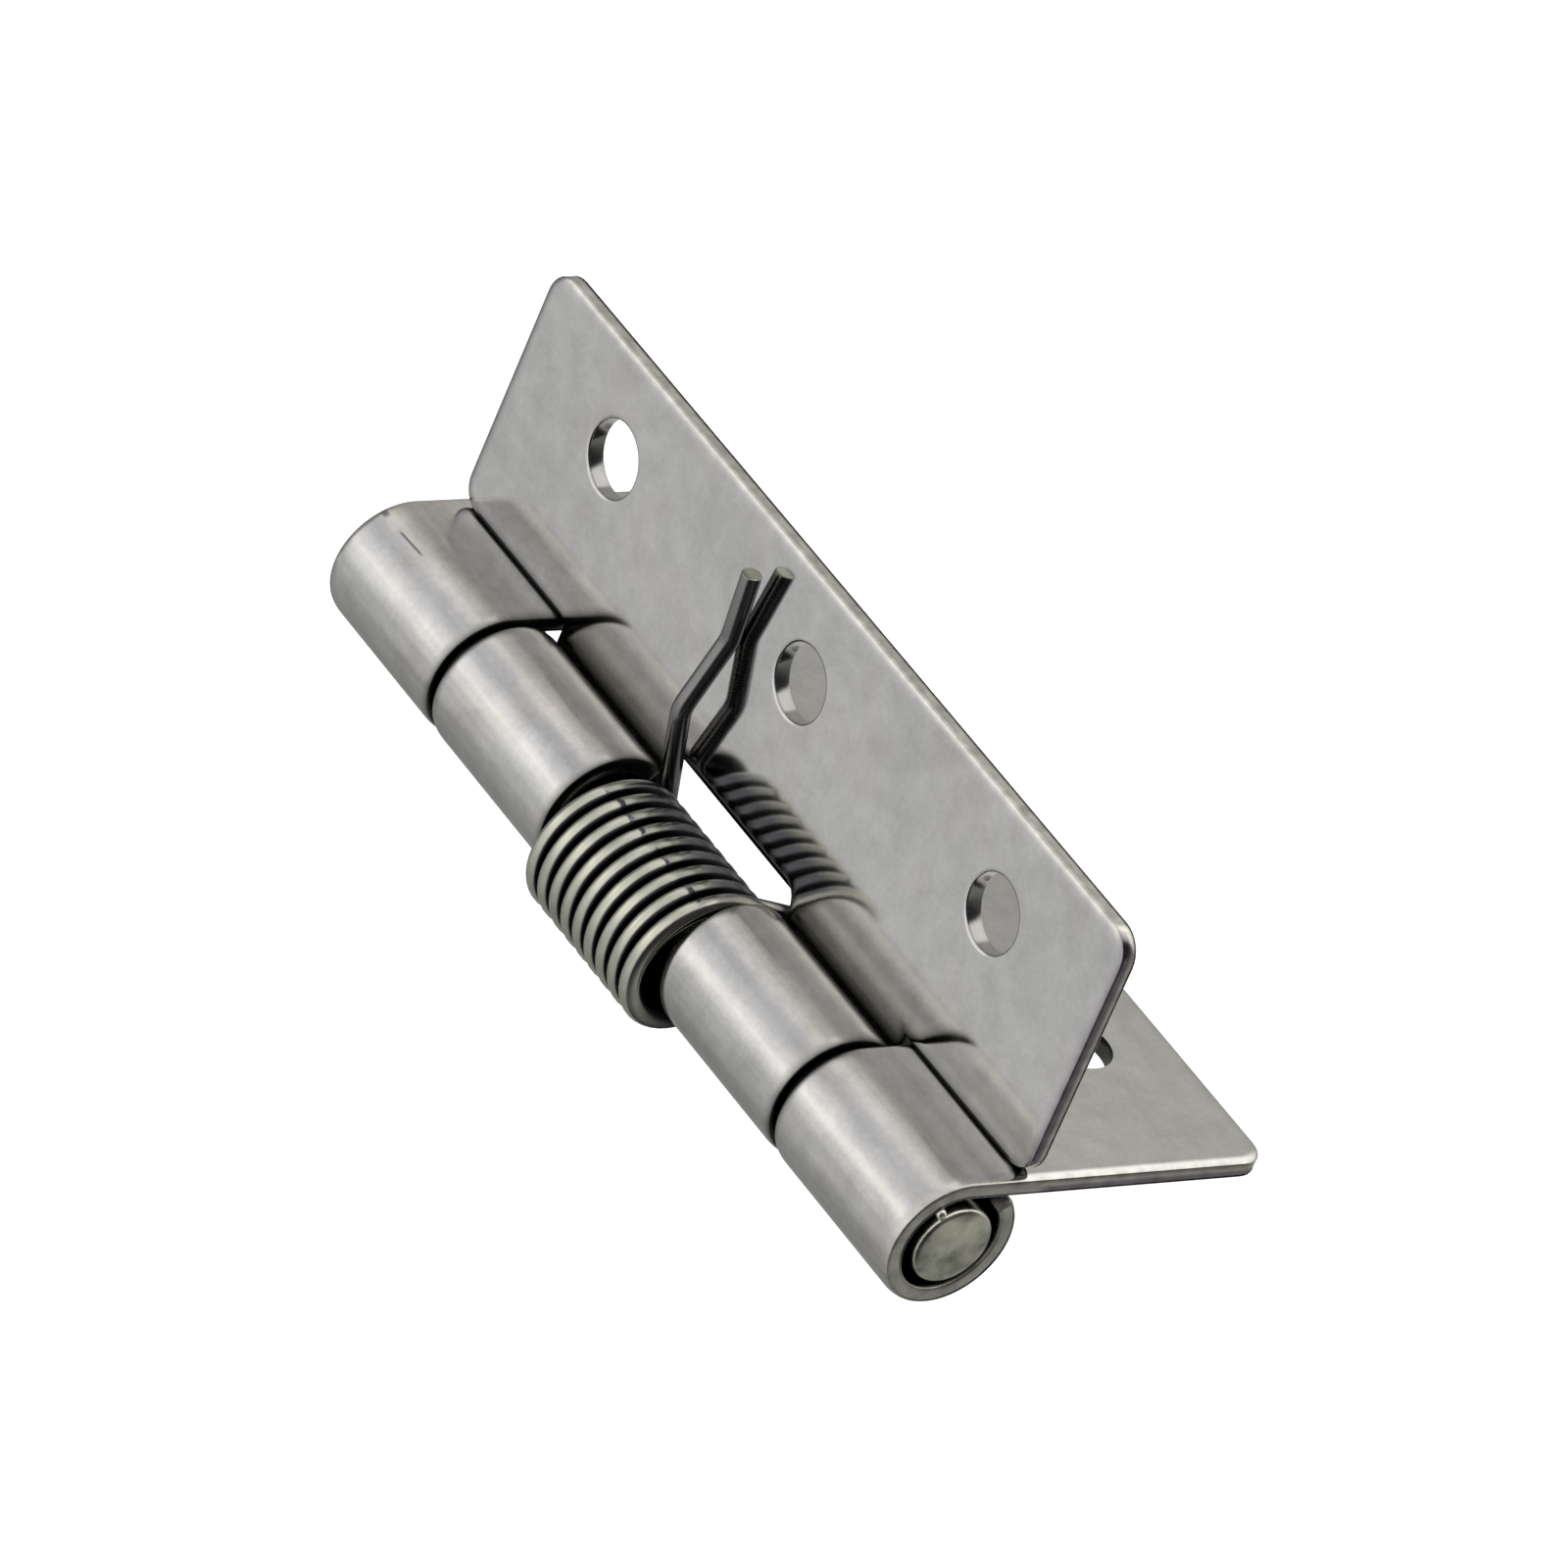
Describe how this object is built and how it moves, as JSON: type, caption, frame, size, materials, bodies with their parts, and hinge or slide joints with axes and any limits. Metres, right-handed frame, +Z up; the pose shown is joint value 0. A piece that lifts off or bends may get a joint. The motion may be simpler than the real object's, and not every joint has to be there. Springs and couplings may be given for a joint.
{
  "type": "spring loaded door hinge",
  "caption": "Stainless butt hinge with rolled knuckles, a plain pin and a torsion spring whose legs press on both leaves to pull the door shut.",
  "frame": {"origin": "centre of the fixed leaf's middle screw hole, on the leaf's flat mounting face", "axes": "+X along the pin towards the end with the tack, +Z out of the fixed leaf's mounting face, +Y along the fixed leaf away from the pin; the moving leaf stands up along +Z"},
  "size_m": [0.0772, 0.0323, 0.0323],
  "materials": {
    "rolled_sheet": "satin rolled stainless sheet, tumbled edges",
    "pin_steel": "drawn stainless rod, dull ends",
    "spring_wire": "drawn stainless spring wire"
  },
  "bodies": {
    "fixed_side": {"fixed_leaf": "rolled_sheet", "hinge_pin": "pin_steel", "torsion_spring": "spring_wire"},
    "moving_side": {"moving_leaf": "rolled_sheet"}
  },
  "joints": [
    {"name": "leaf_swing", "type": "hinge", "parent": "fixed_side", "child": "moving_side", "pos_m": [0, -0.0173, -0.0052], "axis": [1, 0, 0], "range_deg": [0, 270], "stiffness_Nm_per_rad": 0.149, "springref_deg": -60.16, "deforming": ["torsion_spring"]}
  ]
}
